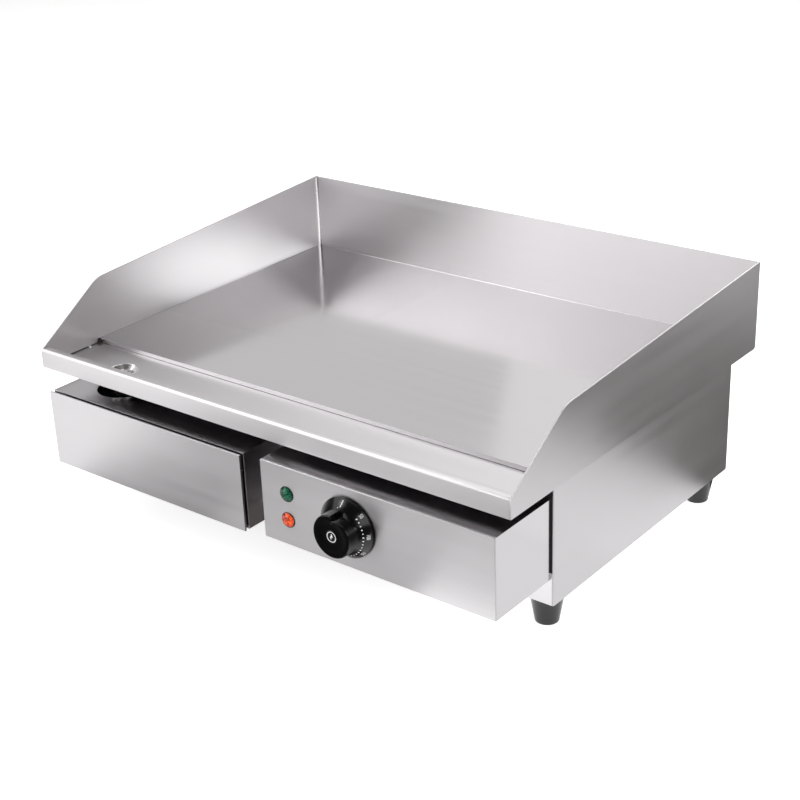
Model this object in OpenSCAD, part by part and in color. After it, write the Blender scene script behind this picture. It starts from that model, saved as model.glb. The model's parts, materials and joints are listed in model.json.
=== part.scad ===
// Countertop electric griddle.
// Frame: millimetres, +Z up, +X to the operator's right, the operator stands on the -Y side.
// Origin: centre of the whole outline, on the surface the four feet stand on.

/* [Pan] */
// Width of the pan over its side guards
pan_w = 550; // [500:5:600]
// Depth of the pan from the front lip to the rear guard
pan_d = 414; // [400:2:430]
// Height of the rear guard above the counter
guard_top = 227; // [215:1:240]
// Height of the side guard where its top edge turns down to the lip
guard_bend_top = 207.5; // [195:0.5:212]
// Distance of that bend behind the front lip
guard_bend_y = 78; // [74:1:90]
// Radius that eases the bend
guard_bend_r = 36; // [20:1:50]
// Height of the front lip above the counter
lip_top = 158; // [155:0.5:162]
// Depth of the flat top of the front lip
lip_depth = 9; // [8:0.5:12]
// Thickness of the guard and trough sheet
guard_t = 1.5; // [1.2:0.1:2]

/* [Griddle plate] */
// Underside of the plate and of the whole pan
plate_bottom = 139; // [135:0.5:142]
// Thickness of the cooking plate
plate_t = 6; // [5:0.5:8]
// Distance of the plate's front edge behind the front lip
plate_front = 72.5; // [70:0.5:80]

/* [Drain] */
// Place of the drain left of the centre
drain_x = -200; // [-205:1:-195]
// Distance of the drain behind the front lip
drain_y = 36; // [33:1:39]
// Radius of the drain dish in the trough floor
drain_dish_r = 15; // [13:0.5:17]
// Outer radius of the drain pipe
drain_pipe_r = 11; // [9:0.5:12]
// Height of the drain pipe's lower end
drain_pipe_end = 118; // [115:1:122]

/* [Body] */
// Width of the body below the pan
body_w = 548; // [546:1:549]
// Distance of the body's front behind the front lip
body_front = 62.5; // [60:0.5:66]
// Depth of the body
body_d = 305; // [300:1:315]
// Height of the body's underside above the counter
body_bottom = 29; // [25:1:33]
// Thickness of the body sheet
body_t = 1.2; // [1:0.1:1.5]

/* [Control box] */
// Left side of the control box
control_x = 25; // [20:0.5:30]
// Width of the control box
control_w = 246; // [240:1:248]
// Underside of the control box
control_z = 54; // [50:0.5:56]
// Height of the control box, and of the drawer front
box_h = 75; // [70:0.5:76]
// How far the control panel stands ahead of the front lip
panel_reach = 16.3; // [12:0.1:20]
// Place of the knob's axis
knob_x = 122; // [110:1:140]
// Height of the knob's axis
knob_z = 93.5; // [88:0.5:98]
// How far the knob stands ahead of the control panel
knob_reach = 22.7; // [20:0.1:28]
// Radius of the knob's skirt
knob_skirt_r = 28; // [26:0.5:29]
// Radius of the knob's grip
knob_grip_r = 19.5; // [18:0.5:20]
// Place of the two lamps
lamp_x = 54; // [48:1:60]
// Height of the green lamp
green_z = 103.8; // [100:0.1:108]
// Height of the amber lamp
amber_z = 78.8; // [74:0.1:82]

/* [Grease drawer] */
// Left side of the drawer front
drawer_x = -249; // [-252:0.5:-246]
// Width of the drawer front
drawer_w = 249; // [240:1:252]
// Underside of the drawer front
drawer_z = 50.3; // [48:0.1:54]
// Gap between the drawer front and its sleeve
drawer_gap = 3.5; // [2:0.1:5]
// Distance of the sleeve's back behind the front lip
sleeve_end = 150; // [140:1:152]
// Radius of the drip hole in the sleeve's top
drip_r = 24.4; // [20:0.1:25]

/* [Feet] */
// Distance of the feet from the centre line
foot_x = 255; // [250:1:256]
// Distance of the front feet behind the front lip
foot_front = 82; // [80:1:90]
// Distance of the rear feet behind the front lip
foot_rear = 347; // [335:1:350]
// Upper radius of a foot
foot_top_r = 15.5; // [14:0.5:16]
// Lower radius of a foot
foot_base_r = 10.5; // [9:0.5:12]

/* [Hidden] */

steel = "#c9c7c8";
black = "#1b1b1d";
round_fn = 64;
eps = 0.5;                                  // how far a cutter runs past the face it opens

// Pan
lead = panel_reach + knob_reach;            // the knob's front stands this far ahead of the lip
front_y = -(pan_d - lead) / 2;              // the front lip's face
rear_y = front_y + pan_d;                   // the rear guard's outer face
pan_half = pan_w / 2;
inner_half = pan_half - guard_t;
plate_top = plate_bottom + plate_t;
plate_y = front_y + plate_front;
plate_end = rear_y - guard_t;
floor_top = plate_bottom + guard_t;
lip_r = 2.5;                                // outer radius of the lip's folds
weld_r = 3;                                 // reach of the weld in the rear corners
bead = 1.6;                                 // reach of the weld round the plate

// Drain and drawer
drain_cy = front_y + drain_y;
drain_inner_r = drain_pipe_r - 1.5;
drip_x = drain_x + 3.4;
drip_y = drain_cy - 5.9;
panel_y = front_y - panel_reach;            // front faces of the control panel and the drawer
drawer_front_t = 2;
sleeve_y = panel_y + drawer_front_t + drawer_gap;
sleeve_t = 1;
sleeve_end_y = front_y + sleeve_end;
runner_t = 1;
tray_t = 0.8;
tray_side_gap = 3;
tray_x = drawer_x + sleeve_t + tray_side_gap;
tray_w = drawer_w - 2 * (sleeve_t + tray_side_gap);
tray_z = drawer_z + sleeve_t + runner_t + 0.1;
tray_h = 55;
tray_y = panel_y + drawer_front_t;
tray_end_y = sleeve_end_y - 8;

// Body
body_half = body_w / 2;
body_y = front_y + body_front;
body_end_y = body_y + body_d;
body_r = 2;                                 // outer radius of the body's bends
base_top = body_bottom + body_t;

// Control box
control_y = panel_y + body_t;               // back face of the control panel
knob_gap = 0.8;                             // running gap between the knob and the panel
knob_back = panel_y - knob_gap;
knob_front = panel_y - knob_reach;
skirt_depth = 10.4;
shaft_grip = 15;                            // length of the shaft inside the knob
shaft_r = 3;
shaft_end = control_y + 18;
thermostat_w = 38;
thermostat_h = 34;
thermostat_d = 36;
lens_r = 6.4;
bezel_r = 7.3;
lamp_hole_r = 6;

// Heating
tube_r = 4;
tube_z = plate_bottom - tube_r;
tube_left = -222;
tube_right = 214;
hairpin_r = 20;                             // half the spacing of a hairpin's legs
cold_bend = 10;                             // radius that turns a cold end down
hairpin_y = [115, 205, 295];                // hairpin centres behind the front lip
clamp_x = [-160, 0, 160];
stud_y = [160, 250, 335];
bar_t = 3;
bar_top = tube_z - tube_r;
bar_w = 16;
nut_h = 3;
stud_r = 3;
stud_end = bar_top - bar_t - nut_h;
shield_z = 118;

// Services on the rear panel
gland_x = 150;
gland_z = 75;
cord_r = 4.5;
stud_x = 205;
stud_z = 60;
reset_x = 100;
reset_z = 75;
reset_r = 4;
reset_travel = 2;
bond_r = 2.6;
bond_tip_r = 2.4;
bracket_y = [75, 240];                      // brackets behind the body's front
bracket_screw_x = body_half - body_t - 8;

// Feet
foot_places = [for (x = [-1, 1], y = [foot_front, foot_rear]) [x * foot_x, front_y + y]];
foot_screw_r = 2.5;
foot_recess = 9;                            // depth of the screw's recess in a foot

// Points of an arc about (cx, cy), from angle a to angle b, in equal steps
function arc(cx, cy, r, a, b, steps = 6) =
    [for (i = [0:steps]) let (t = a + (b - a) * i / steps) [cx + r * cos(t), cy + r * sin(t)]];

// A YZ outline, given as [y, z] points, extruded along X from x to x + w
module yz_prism(points, x, w) {
    translate([x, 0, 0])
        rotate([90, 0, 90])
            linear_extrude(height = w)
                polygon(points);
}

// A cylinder along +Y, starting at p
module y_rod(p, r, length) {
    translate(p)
        rotate([-90, 0, 0])
            cylinder(r = r, h = length, $fn = round_fn);
}

// A ring along +Y, starting at p
module y_ring(p, r_out, r_in, length) {
    difference() {
        y_rod(p, r_out, length);
        y_rod(p - [0, eps, 0], r_in, length + 2 * eps);
    }
}

// A hexagonal nut along Z with its lower face at p
module z_nut(p, r_hole, across, h) {
    translate(p)
        difference() {
            cylinder(r = across / 2 / cos(30), h = h, $fn = 6);
            translate([0, 0, -eps])
                cylinder(r = r_hole, h = h + 2 * eps, $fn = round_fn);
        }
}

// A hexagonal nut along +Y with its front face at p
module y_nut(p, r_hole, across, h) {
    translate(p)
        rotate([-90, 0, 0])
            difference() {
                cylinder(r = across / 2 / cos(30), h = h, $fn = 6);
                translate([0, 0, -eps])
                    cylinder(r = r_hole, h = h + 2 * eps, $fn = round_fn);
            }
}

// A slot with round ends, cut along Z through z to z + h, length along X
module z_slot(x, y, z, length, width, h) {
    translate([x, y, z]) {
        translate([-(length - width) / 2, -width / 2, 0])
            cube([length - width, width, h]);
        for (side = [-1, 1])
            translate([side * (length - width) / 2, 0, 0])
                cylinder(r = width / 2, h = h, $fn = 24);
    }
}

// A tube that follows points with a round section, given as rings of vertices
module swept_tube(points, r, sides = 8) {
    n = len(points);
    function unit(v) = v / norm(v);
    function heading(i) = unit(points[min(i + 1, n - 1)] - points[max(i - 1, 0)]);
    function aside(d) = abs(d[2]) < 0.9 ? unit(cross(d, [0, 0, 1])) : unit(cross(d, [0, 1, 0]));
    rings = [for (i = [0:n - 1])
        let (d = heading(i), u = aside(d), v = cross(d, u))
            for (k = [0:sides - 1])
                points[i] + r * (cos(360 * k / sides) * u + sin(360 * k / sides) * v)];
    walls = [for (i = [0:n - 2], k = [0:sides - 1])
        let (a = i * sides + k, b = i * sides + (k + 1) % sides)
            [a, b, b + sides, a + sides]];
    caps = [[for (k = [sides - 1:-1:0]) k], [for (k = [0:sides - 1]) (n - 1) * sides + k]];
    polyhedron(points = rings, faces = concat(walls, caps), convexity = 4);
}

// Point at t along a smooth curve through four control points
function bezier(a, b, c, d, t) =
    pow(1 - t, 3) * a + 3 * t * pow(1 - t, 2) * b + 3 * t * t * (1 - t) * c + pow(t, 3) * d;

function bezier_path(a, b, c, d, steps = 14) =
    [for (i = [0:steps]) bezier(a, b, c, d, i / steps)];

// Outline of a side guard: front edge, slope, eased bend, top edge and rear edge
slope_angle = atan2(guard_bend_top - lip_top, guard_bend_y);
rise_angle = atan2(guard_top - guard_bend_top, pan_d - guard_bend_y);
bend_half = (slope_angle - rise_angle) / 2;
bend_reach = guard_bend_r * tan(bend_half);
bend_cy = front_y + guard_bend_y - bend_reach * cos(slope_angle) + guard_bend_r * sin(slope_angle);
bend_cz = guard_bend_top - bend_reach * sin(slope_angle) - guard_bend_r * cos(slope_angle);
guard_outline = concat(
    [[front_y, plate_bottom]],
    [[front_y, lip_top - lip_r]],
    [[front_y + lip_r * 0.45, lip_top - lip_r * 0.1]],
    arc(bend_cy, bend_cz, guard_bend_r, 90 + slope_angle, 90 + rise_angle, 10),
    [[rear_y, guard_top]],
    arc(rear_y - lip_r, plate_bottom + lip_r, lip_r, 0, -90, 5)
);

module side_guard(side) {
    yz_prism(guard_outline, side > 0 ? inner_half : -pan_half, guard_t);
}

module left_guard() {
    color(steel) side_guard(-1);
}

module right_guard() {
    color(steel) side_guard(1);
}

module rear_guard() {
    color(steel)
        translate([-inner_half, plate_end, plate_bottom])
            cube([2 * inner_half, guard_t, guard_top - plate_bottom]);
}

// Lip, trough wall and trough floor as one folded sheet
trough_outline = concat(
    [[front_y, plate_bottom]],
    arc(front_y + lip_r, lip_top - lip_r, lip_r, 180, 90),
    arc(front_y + lip_depth - lip_r, lip_top - lip_r, lip_r, 90, 0),
    arc(front_y + lip_depth + lip_r, floor_top + lip_r, lip_r, 180, 270),
    [[plate_y, floor_top], [plate_y, plate_bottom]],
    arc(front_y + lip_depth + lip_r, floor_top + lip_r, lip_r + guard_t, 270, 180),
    arc(front_y + lip_depth - lip_r, lip_top - lip_r, lip_r - guard_t, 0, 90),
    arc(front_y + lip_r, lip_top - lip_r, lip_r - guard_t, 90, 180),
    [[front_y + guard_t, plate_bottom]]
);

module front_trough() {
    color(steel)
        difference() {
            yz_prism(trough_outline, -inner_half, 2 * inner_half);
            translate([drain_x, drain_cy, plate_bottom - eps])
                cylinder(r = drain_dish_r, h = guard_t + 2 * eps, $fn = round_fn);
        }
}

// Dished drain fitting with its pipe
module drain_pipe() {
    dish = [
        [drain_dish_r, floor_top],
        [drain_dish_r - 1, floor_top + 0.4],
        [drain_dish_r - 2, floor_top],
        [drain_inner_r, floor_top - 3.5],
        [drain_inner_r, drain_pipe_end],
        [drain_pipe_r, drain_pipe_end],
        [drain_pipe_r, floor_top - 4],
        [drain_dish_r, plate_bottom - 0.5]
    ];
    color(steel)
        translate([drain_x, drain_cy, 0])
            rotate_extrude($fn = round_fn)
                polygon(dish);
}

// Plate with its two sides and rear chamfered for the weld
module griddle_plate() {
    color("#b8b6b7")
        difference() {
            translate([-inner_half, plate_y, plate_bottom])
                cube([2 * inner_half, plate_end - plate_y, plate_t]);
            plate_weld_runs();
        }
}

// Welds in the two rear corners, above the plate's weld
module corner_welds() {
    bead_top = plate_top + bead;
    color(steel)
        for (side = [-1, 1])
            mirror([side < 0 ? 1 : 0, 0, 0])
                translate([0, 0, bead_top])
                    linear_extrude(height = guard_top - 1 - bead_top)
                        polygon(concat(
                            [[inner_half, plate_end]],
                            arc(inner_half - weld_r, plate_end - weld_r, weld_r, 90, 0)
                        ));
}

// Runs of weld that fill the plate's chamfer and rise on the three guards
module plate_weld_runs() {
    for (side = [0, 1])
        mirror([side, 0, 0])
            translate([inner_half, plate_end, plate_top])
                rotate([90, 0, 0])
                    linear_extrude(height = plate_end - plate_y)
                        polygon([[0, -bead], [0, bead], [-bead, 0]]);
    yz_prism(
        [[plate_end, plate_top - bead], [plate_end, plate_top + bead], [plate_end - bead, plate_top]],
        -inner_half + bead,
        2 * (inner_half - bead)
    );
}

module plate_welds() {
    color(steel) plate_weld_runs();
}

// Front and both sides of the body, bent from one sheet
module body_shell() {
    r = body_r;
    inner = body_r - body_t;
    outline = concat(
        [[-body_half, body_end_y]],
        arc(-body_half + r, body_y + r, r, 180, 270),
        arc(body_half - r, body_y + r, r, 270, 360),
        [[body_half, body_end_y], [body_half - body_t, body_end_y]],
        arc(body_half - r, body_y + r, inner, 360, 270),
        arc(-body_half + r, body_y + r, inner, 270, 180),
        [[-body_half + body_t, body_end_y]]
    );
    color(steel)
        difference() {
            translate([0, 0, body_bottom])
                linear_extrude(height = plate_bottom - body_bottom)
                    polygon(outline);
            translate([drawer_x, body_y - eps, drawer_z])
                cube([drawer_w, body_t + 2 * eps, box_h]);
            translate([control_x + 14, body_y - eps, control_z + 12])
                cube([control_w - 28, body_t + 2 * eps, box_h - 24]);
            for (x = [control_x + 7, control_x + control_w - 7], z = [20, 55])
                y_rod([x, body_y - eps, control_z + z], 1.6, body_t + 2 * eps);
        }
}

module rear_panel() {
    panel_half = body_half - body_t;
    rear_in = body_end_y - body_t;
    color(steel)
        difference() {
            translate([-panel_half, rear_in, body_bottom])
                cube([2 * panel_half, body_t, plate_bottom - body_bottom]);
            for (column = [0:13])
                translate([-212 + column * 18, rear_in - eps, 84])
                    rotate([-90, 0, 0])
                        rotate([0, 0, 90])
                            z_slot(0, 0, 0, 48, 6, body_t + 2 * eps);
            y_rod([gland_x, rear_in - eps, gland_z], 8, body_t + 2 * eps);
            y_rod([stud_x, rear_in - eps, stud_z], bond_r, body_t + 2 * eps);
            y_rod([reset_x, rear_in - eps, reset_z], reset_r + 0.6, body_t + 2 * eps);
            for (x = [-1, 1], z = [38, 128])
                y_rod([x * (panel_half - 9), rear_in - eps, z], 2, body_t + 2 * eps);
        }
}

// Bottom cover with cooling slots, its front corners clipped to clear the body's bends
module base_plate() {
    half = body_half - body_t;
    start = body_y + body_t;
    color(steel)
        difference() {
            translate([0, 0, body_bottom])
                linear_extrude(height = body_t)
                    polygon([
                        [-half, start + 1], [-half + 1, start], [half - 1, start], [half, start + 1],
                        [half, body_end_y - body_t], [-half, body_end_y - body_t]
                    ]);
            for (column = [-4:4], row = [0:4])
                z_slot(column * 50, body_y + 72 + row * 40, body_bottom - eps, 34, 5, body_t + 2 * eps);
            for (p = foot_places)
                translate([p[0], p[1], body_bottom - eps])
                    cylinder(r = foot_screw_r, h = body_t + 2 * eps, $fn = round_fn);
            for (side = [-1, 1], y = bracket_y)
                translate([side * bracket_screw_x, body_y + y, body_bottom - eps])
                    cylinder(r = 2, h = body_t + 2 * eps, $fn = round_fn);
        }
}

// Angle brackets inside the body's sides that take the bottom cover's screws
module base_brackets() {
    half = body_half - body_t;
    leg = 14;
    t = 1.5;
    color(steel)
        for (side = [-1, 1], y = bracket_y)
            mirror([side < 0 ? 1 : 0, 0, 0])
                difference() {
                    union() {
                        translate([half - leg, body_y + y - 12, base_top])
                            cube([leg, 24, t]);
                        translate([half - t, body_y + y - 12, base_top + t])
                            cube([t, 24, leg]);
                    }
                    translate([bracket_screw_x, body_y + y, base_top - eps])
                        cylinder(r = 2, h = t + 2 * eps, $fn = round_fn);
                }
}

// Folded reflector that keeps heat out of the body's lower half
module heat_shield() {
    half = body_half - body_t;
    start = sleeve_end_y + 8;
    depth = body_end_y - 8 - start;
    color(steel) {
        difference() {
            translate([-half, start, shield_z])
                cube([2 * half, depth, 1]);
            cold_end_holes(shield_z - eps, 1 + 2 * eps);
        }
        for (side = [-1, 1])
            translate([side > 0 ? half - 1 : -half, start, shield_z - 10])
                cube([1, depth, 10]);
    }
}

module insulation_mat() {
    half = body_half - body_t - 4;
    start = sleeve_end_y + 11;
    depth = body_end_y - 14 - start;
    t = stud_end - shield_z - 1.3;
    color("#e9e4d8")
        difference() {
            translate([-half, start, shield_z + 1])
                cube([2 * half, depth, t]);
            cold_end_holes(shield_z + 1 - eps, t + 2 * eps);
        }
}

// Clearance round the heating tubes' cold ends
module cold_end_holes(z, h) {
    for (y = hairpin_y, side = [-1, 1])
        translate([tube_right + cold_bend, front_y + y + side * hairpin_r, z])
            cylinder(r = tube_r + 2, h = h, $fn = 48);
}

// One hairpin heating tube: two legs, a half turn, and cold ends bent down
module hairpin(cy) {
    end_drop = 18;
    bend = cold_bend;
    for (side = [-1, 1])
        translate([0, cy + side * hairpin_r, tube_z]) {
            translate([tube_left + hairpin_r, 0, 0])
                rotate([0, 90, 0])
                    cylinder(r = tube_r, h = tube_right - tube_left - hairpin_r, $fn = 32);
            translate([tube_right, 0, -bend])
                rotate([90, 0, 0])
                    rotate_extrude(angle = 90, $fn = 48)
                        translate([bend, 0])
                            circle(r = tube_r, $fn = 32);
            translate([tube_right + bend, 0, -bend - end_drop])
                cylinder(r = tube_r, h = end_drop, $fn = 32);
        }
    translate([tube_left + hairpin_r, cy, tube_z])
        rotate([0, 0, 90])
            rotate_extrude(angle = 180, $fn = 64)
                translate([hairpin_r, 0])
                    circle(r = tube_r, $fn = 32);
}

// Three hairpins under the plate; their cold ends reach down through the shield's holes
module heating_elements() {
    color("#6d6a68")
        for (y = hairpin_y)
            hairpin(front_y + y);
}

module clamp_bars() {
    start = front_y + hairpin_y[0] - hairpin_r - 10;
    finish = front_y + hairpin_y[2] + hairpin_r + 34;
    color("#9a9896")
        for (x = clamp_x)
            difference() {
                translate([x - bar_w / 2, start, bar_top - bar_t])
                    cube([bar_w, finish - start, bar_t]);
                for (y = stud_y)
                    translate([x, front_y + y, bar_top - bar_t - eps])
                        cylinder(r = stud_r + 0.2, h = bar_t + 2 * eps, $fn = round_fn);
            }
}

module clamp_studs() {
    color("#9a9896")
        for (x = clamp_x, y = stud_y)
            translate([x, front_y + y, stud_end])
                cylinder(r = stud_r, h = plate_bottom - stud_end, $fn = 32);
}

module clamp_nuts() {
    color("#9a9896")
        for (x = clamp_x, y = stud_y)
            z_nut([x, front_y + y, bar_top - bar_t - nut_h], stud_r, 10, nut_h);
}

// Sensing bulb of the thermostat, clipped under the plate between two hairpins
bulb_y = front_y + 148;
bulb_x = 60;
bulb_r = 3;
bulb_len = 70;
module sensor_bulb() {
    color("#b9845a")
        translate([bulb_x, bulb_y, plate_bottom - bulb_r])
            rotate([0, 90, 0])
                cylinder(r = bulb_r, h = bulb_len, $fn = 32);
}

module bulb_clip() {
    r = bulb_r + 0.8;
    z = plate_bottom - bulb_r;
    color(steel)
        translate([bulb_x + bulb_len / 2 - 5, 0, 0])
            rotate([90, 0, 90])
                linear_extrude(height = 10)
                    difference() {
                        union() {
                            translate([bulb_y, z])
                                circle(r = r, $fn = 32);
                            translate([bulb_y - r, z])
                                square([2 * r, bulb_r]);
                            translate([bulb_y - r - 5, plate_bottom - 0.8])
                                square([2 * r + 10, 0.8]);
                        }
                        translate([bulb_y, z])
                            circle(r = bulb_r, $fn = 32);
                        translate([bulb_y - bulb_r, z])
                            square([2 * bulb_r, bulb_r + 1]);
                    }
}

module capillary_tube() {
    start = [bulb_x + bulb_len, bulb_y, plate_bottom - bulb_r];
    finish = [knob_x + 8, control_y + thermostat_d, knob_z + 6];
    color("#b9845a")
        swept_tube(bezier_path(start, start + [30, 8, -34], finish + [20, 70, 14], finish, 18), 0.9);
}

// Sleeve that carries the drawer: open at the front, with a drip hole under the drain
module drawer_sleeve() {
    depth = sleeve_end_y - sleeve_y;
    color(steel)
        difference() {
            translate([drawer_x, sleeve_y, drawer_z])
                cube([drawer_w, depth, box_h]);
            translate([drawer_x + sleeve_t, sleeve_y - eps, drawer_z + sleeve_t])
                cube([drawer_w - 2 * sleeve_t, depth - sleeve_t + eps, box_h - 2 * sleeve_t]);
            translate([drip_x, drip_y, drawer_z + box_h - sleeve_t - eps])
                cylinder(r = drip_r, h = sleeve_t + 2 * eps, $fn = 96);
        }
}

module drawer_runners() {
    width = 14;
    color(steel)
        for (x = [drawer_x + sleeve_t, drawer_x + drawer_w - sleeve_t - width])
            translate([x, sleeve_y + 2, drawer_z + sleeve_t])
                cube([width, sleeve_end_y - sleeve_t - sleeve_y - 4, runner_t]);
}

module drawer_tray() {
    depth = tray_end_y - tray_y;
    color(steel)
        difference() {
            translate([tray_x, tray_y, tray_z])
                cube([tray_w, depth, tray_h]);
            translate([tray_x + tray_t, tray_y + tray_t, tray_z + tray_t])
                cube([tray_w - 2 * tray_t, depth - 2 * tray_t, tray_h]);
            for (x = rivet_x)
                y_rod([x, tray_y - eps, tray_z + tray_h - 12], 1.6, tray_t + 2 * eps);
        }
}

rivet_x = [for (k = [0:3]) tray_x + 30 + k * (tray_w - 60) / 3];
module drawer_front() {
    color(steel)
        difference() {
            translate([drawer_x, panel_y, drawer_z])
                cube([drawer_w, drawer_front_t, box_h]);
            for (x = rivet_x)
                y_rod([x, panel_y + 1, tray_z + tray_h - 12], 1.6, drawer_front_t);
        }
}

module drawer_rivets() {
    color("#a5a3a2")
        for (x = rivet_x) {
            y_rod([x, panel_y + 1, tray_z + tray_h - 12], 1.6, drawer_front_t - 1 + tray_t);
            y_rod([x, tray_y + tray_t, tray_z + tray_h - 12], 3, 0.9);
        }
}

// Four-sided control box with flanges that meet the body's front
module control_shell() {
    depth = body_y - control_y;
    flange = 12;
    color(steel)
        difference() {
            translate([control_x, control_y, control_z])
                cube([control_w, depth, box_h]);
            translate([control_x + body_t, control_y - eps, control_z + body_t])
                cube([control_w - 2 * body_t, depth - body_t + eps, box_h - 2 * body_t]);
            translate([control_x + flange, body_y - 2 * body_t, control_z + flange])
                cube([control_w - 2 * flange, 3 * body_t, box_h - 2 * flange]);
            for (x = [control_x + 7, control_x + control_w - 7], z = [20, 55])
                y_rod([x, body_y - body_t - eps, control_z + z], 1.6, body_t + 2 * eps);
        }
}

module control_panel() {
    color(steel)
        difference() {
            translate([control_x, panel_y, control_z])
                cube([control_w, body_t, box_h]);
            y_rod([knob_x, panel_y - eps, knob_z], 4.5, body_t + 2 * eps);
            for (side = [-1, 1])
                y_rod([knob_x + side * 14, panel_y - eps, knob_z], 1.7, body_t + 2 * eps);
            for (z = [green_z, amber_z])
                y_rod([lamp_x, panel_y - eps, z], lamp_hole_r, body_t + 2 * eps);
        }
}

module control_rivets() {
    color("#a5a3a2")
        for (x = [control_x + 7, control_x + control_w - 7], z = [20, 55]) {
            y_rod([x, body_y - body_t, control_z + z], 1.6, 2 * body_t);
            y_rod([x, body_y - body_t - 1, control_z + z], 3, 1);
            y_rod([x, body_y + body_t, control_z + z], 2.6, 1);
        }
}

// Knob: flared skirt, round grip, recessed front and a bore for the shaft
module knob() {
    grip_back = knob_back - skirt_depth;
    depth = knob_back - knob_front;
    outline = concat(
        [[0, 0], [knob_skirt_r, 0], [knob_skirt_r, 2]],
        [[knob_grip_r + 1.4, skirt_depth - 1], [knob_grip_r + 0.6, skirt_depth]],
        arc(knob_grip_r - 3, depth - 3, 3, 0, 90),
        [[14, depth], [12.5, depth - 1.2], [0, depth - 1.2]]
    );
    color(black)
        difference() {
            translate([knob_x, knob_back, knob_z])
                rotate([90, 0, 0])
                    rotate_extrude($fn = 96)
                        polygon(outline);
            y_rod([knob_x, knob_back - shaft_grip, knob_z], shaft_r, shaft_grip + eps);
            y_rod([knob_x, knob_back - 4, knob_z], 20, 4 + eps);
        }
}

// Disc set in the knob's front
module knob_cap() {
    color("#2a2a2c")
        y_rod([knob_x, knob_front + 0.7, knob_z], 6, 0.5);
}

module thermostat_shaft() {
    color("#a9a7a5")
        y_rod([knob_x, knob_back - shaft_grip, knob_z], shaft_r, shaft_end - knob_back + shaft_grip);
}

// Capillary thermostat behind the control panel
module thermostat_body() {
    color("#d8d3c4")
        difference() {
            union() {
                translate([knob_x - thermostat_w / 2, control_y + 2, knob_z - thermostat_h / 2])
                    cube([thermostat_w, thermostat_d - 2, thermostat_h]);
                translate([knob_x - thermostat_w / 2, control_y, knob_z - 8])
                    cube([thermostat_w, 2, 16]);
            }
            y_rod([knob_x, control_y - eps, knob_z], shaft_r + 0.05, shaft_end - control_y + 2 + eps);
            for (side = [-1, 1])
                y_rod([knob_x + side * 14, control_y - eps, knob_z], 1.6, 8 + eps);
        }
}

module thermostat_screws() {
    color("#a5a3a2")
        for (side = [-1, 1]) {
            y_rod([knob_x + side * 14, panel_y, knob_z], 1.6, 9);
            y_rod([knob_x + side * 14, panel_y - 0.6, knob_z], 3, 0.6);
        }
}

// Domed lamp lens with its neck through the panel
module lens(z) {
    dome_r = 9.6;
    edge = acos(lens_r / dome_r);
    dome = concat(
        [[0, 0], [lens_r, 0]],
        arc(0, 1.6 - dome_r * sin(edge), dome_r, edge, 90)
    );
    translate([lamp_x, panel_y, z])
        rotate([90, 0, 0])
            rotate_extrude($fn = 48)
                polygon(dome);
}

module green_lens() {
    color("#0f7a4a") lens(green_z);
}

module amber_lens() {
    color("#e8501e") lens(amber_z);
}

module lamp_bezels() {
    color(black)
        for (z = [green_z, amber_z])
            y_ring([lamp_x, panel_y - 1.2, z], bezel_r, lens_r, 1.2);
}

module lamp_bodies() {
    color("#e7e4de")
        for (z = [green_z, amber_z])
            y_rod([lamp_x, panel_y, z], lamp_hole_r, 30);
}

module lamp_nuts() {
    color("#e7e4de")
        for (z = [green_z, amber_z])
            y_nut([lamp_x, control_y, z], lamp_hole_r, 17, 4);
}

// Ceramic terminal block on the base plate
block_x = 150;
block_y = body_end_y - 58;
module terminal_block() {
    color("#efece2")
        difference() {
            translate([block_x - 30, block_y - 12, base_top])
                cube([60, 24, 20]);
            for (k = [-1, 0, 1], side = [-1, 1])
                translate([block_x + k * 18, block_y + side * 7, base_top + 8])
                    cylinder(r = 2.6, h = 14, $fn = 32);
        }
}

module terminal_screws() {
    color("#c9a35a")
        for (k = [-1, 0, 1], side = [-1, 1])
            translate([block_x + k * 18, block_y + side * 7, base_top + 8])
                cylinder(r = 2.6, h = 9, $fn = 32);
}

// Heat-proof leads between the terminal block, the thermostat, the lamps and the elements
module wiring_harness() {
    lead_r = 1.4;
    block = [block_x, block_y - 14, base_top + 14];
    thermostat = [knob_x, control_y + thermostat_d + lead_r, knob_z - 8];
    lamps = [lamp_x, panel_y + 30 + lead_r, 0];
    supply_in = [gland_x, body_end_y - body_t - 14, gland_z];
    supply_out = [block_x, block_y + 14, base_top + 14];
    color("#e9e6df") {
        for (side = [-1, 1]) {
            a = block + [9 * side - 9, 0, 0];
            b = thermostat + [8 * side, 0, 0];
            swept_tube(bezier_path(a, a + [0, -65, -6], b + [0, 75, -23 - 3 * side], b), lead_r);
        }
        for (z = [green_z, amber_z]) {
            a = lamps + [0, 0, z];
            b = thermostat + [-13, 0, z > knob_z ? 4 : -4];
            swept_tube(bezier_path(a, a + [0, 20, 0], b + [0, 30, z - knob_z], b), lead_r);
        }
        swept_tube(bezier_path(
            supply_in,
            supply_in - [0, 16, 0],
            supply_out + [0, 16, 6],
            supply_out
        ), 3);
    }
}

// Manual-reset temperature limiter behind the rear panel
cutout_y = body_end_y - body_t;
module overheat_cutout() {
    color("#3a3836")
        difference() {
            union() {
                y_rod([reset_x, cutout_y - 20, reset_z], 10, 20);
                y_rod([reset_x, cutout_y, reset_z], reset_r + 0.6, body_t);
                y_rod([reset_x, body_end_y, reset_z], 8, 2);
            }
            y_rod([reset_x, cutout_y - 10, reset_z], reset_r - 0.95, body_t + 20);
        }
}

module reset_button() {
    color("#b3261c")
        y_rod([reset_x, cutout_y - 5, reset_z], reset_r - 1, body_t + 5 + 2 + reset_travel);
}

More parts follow.
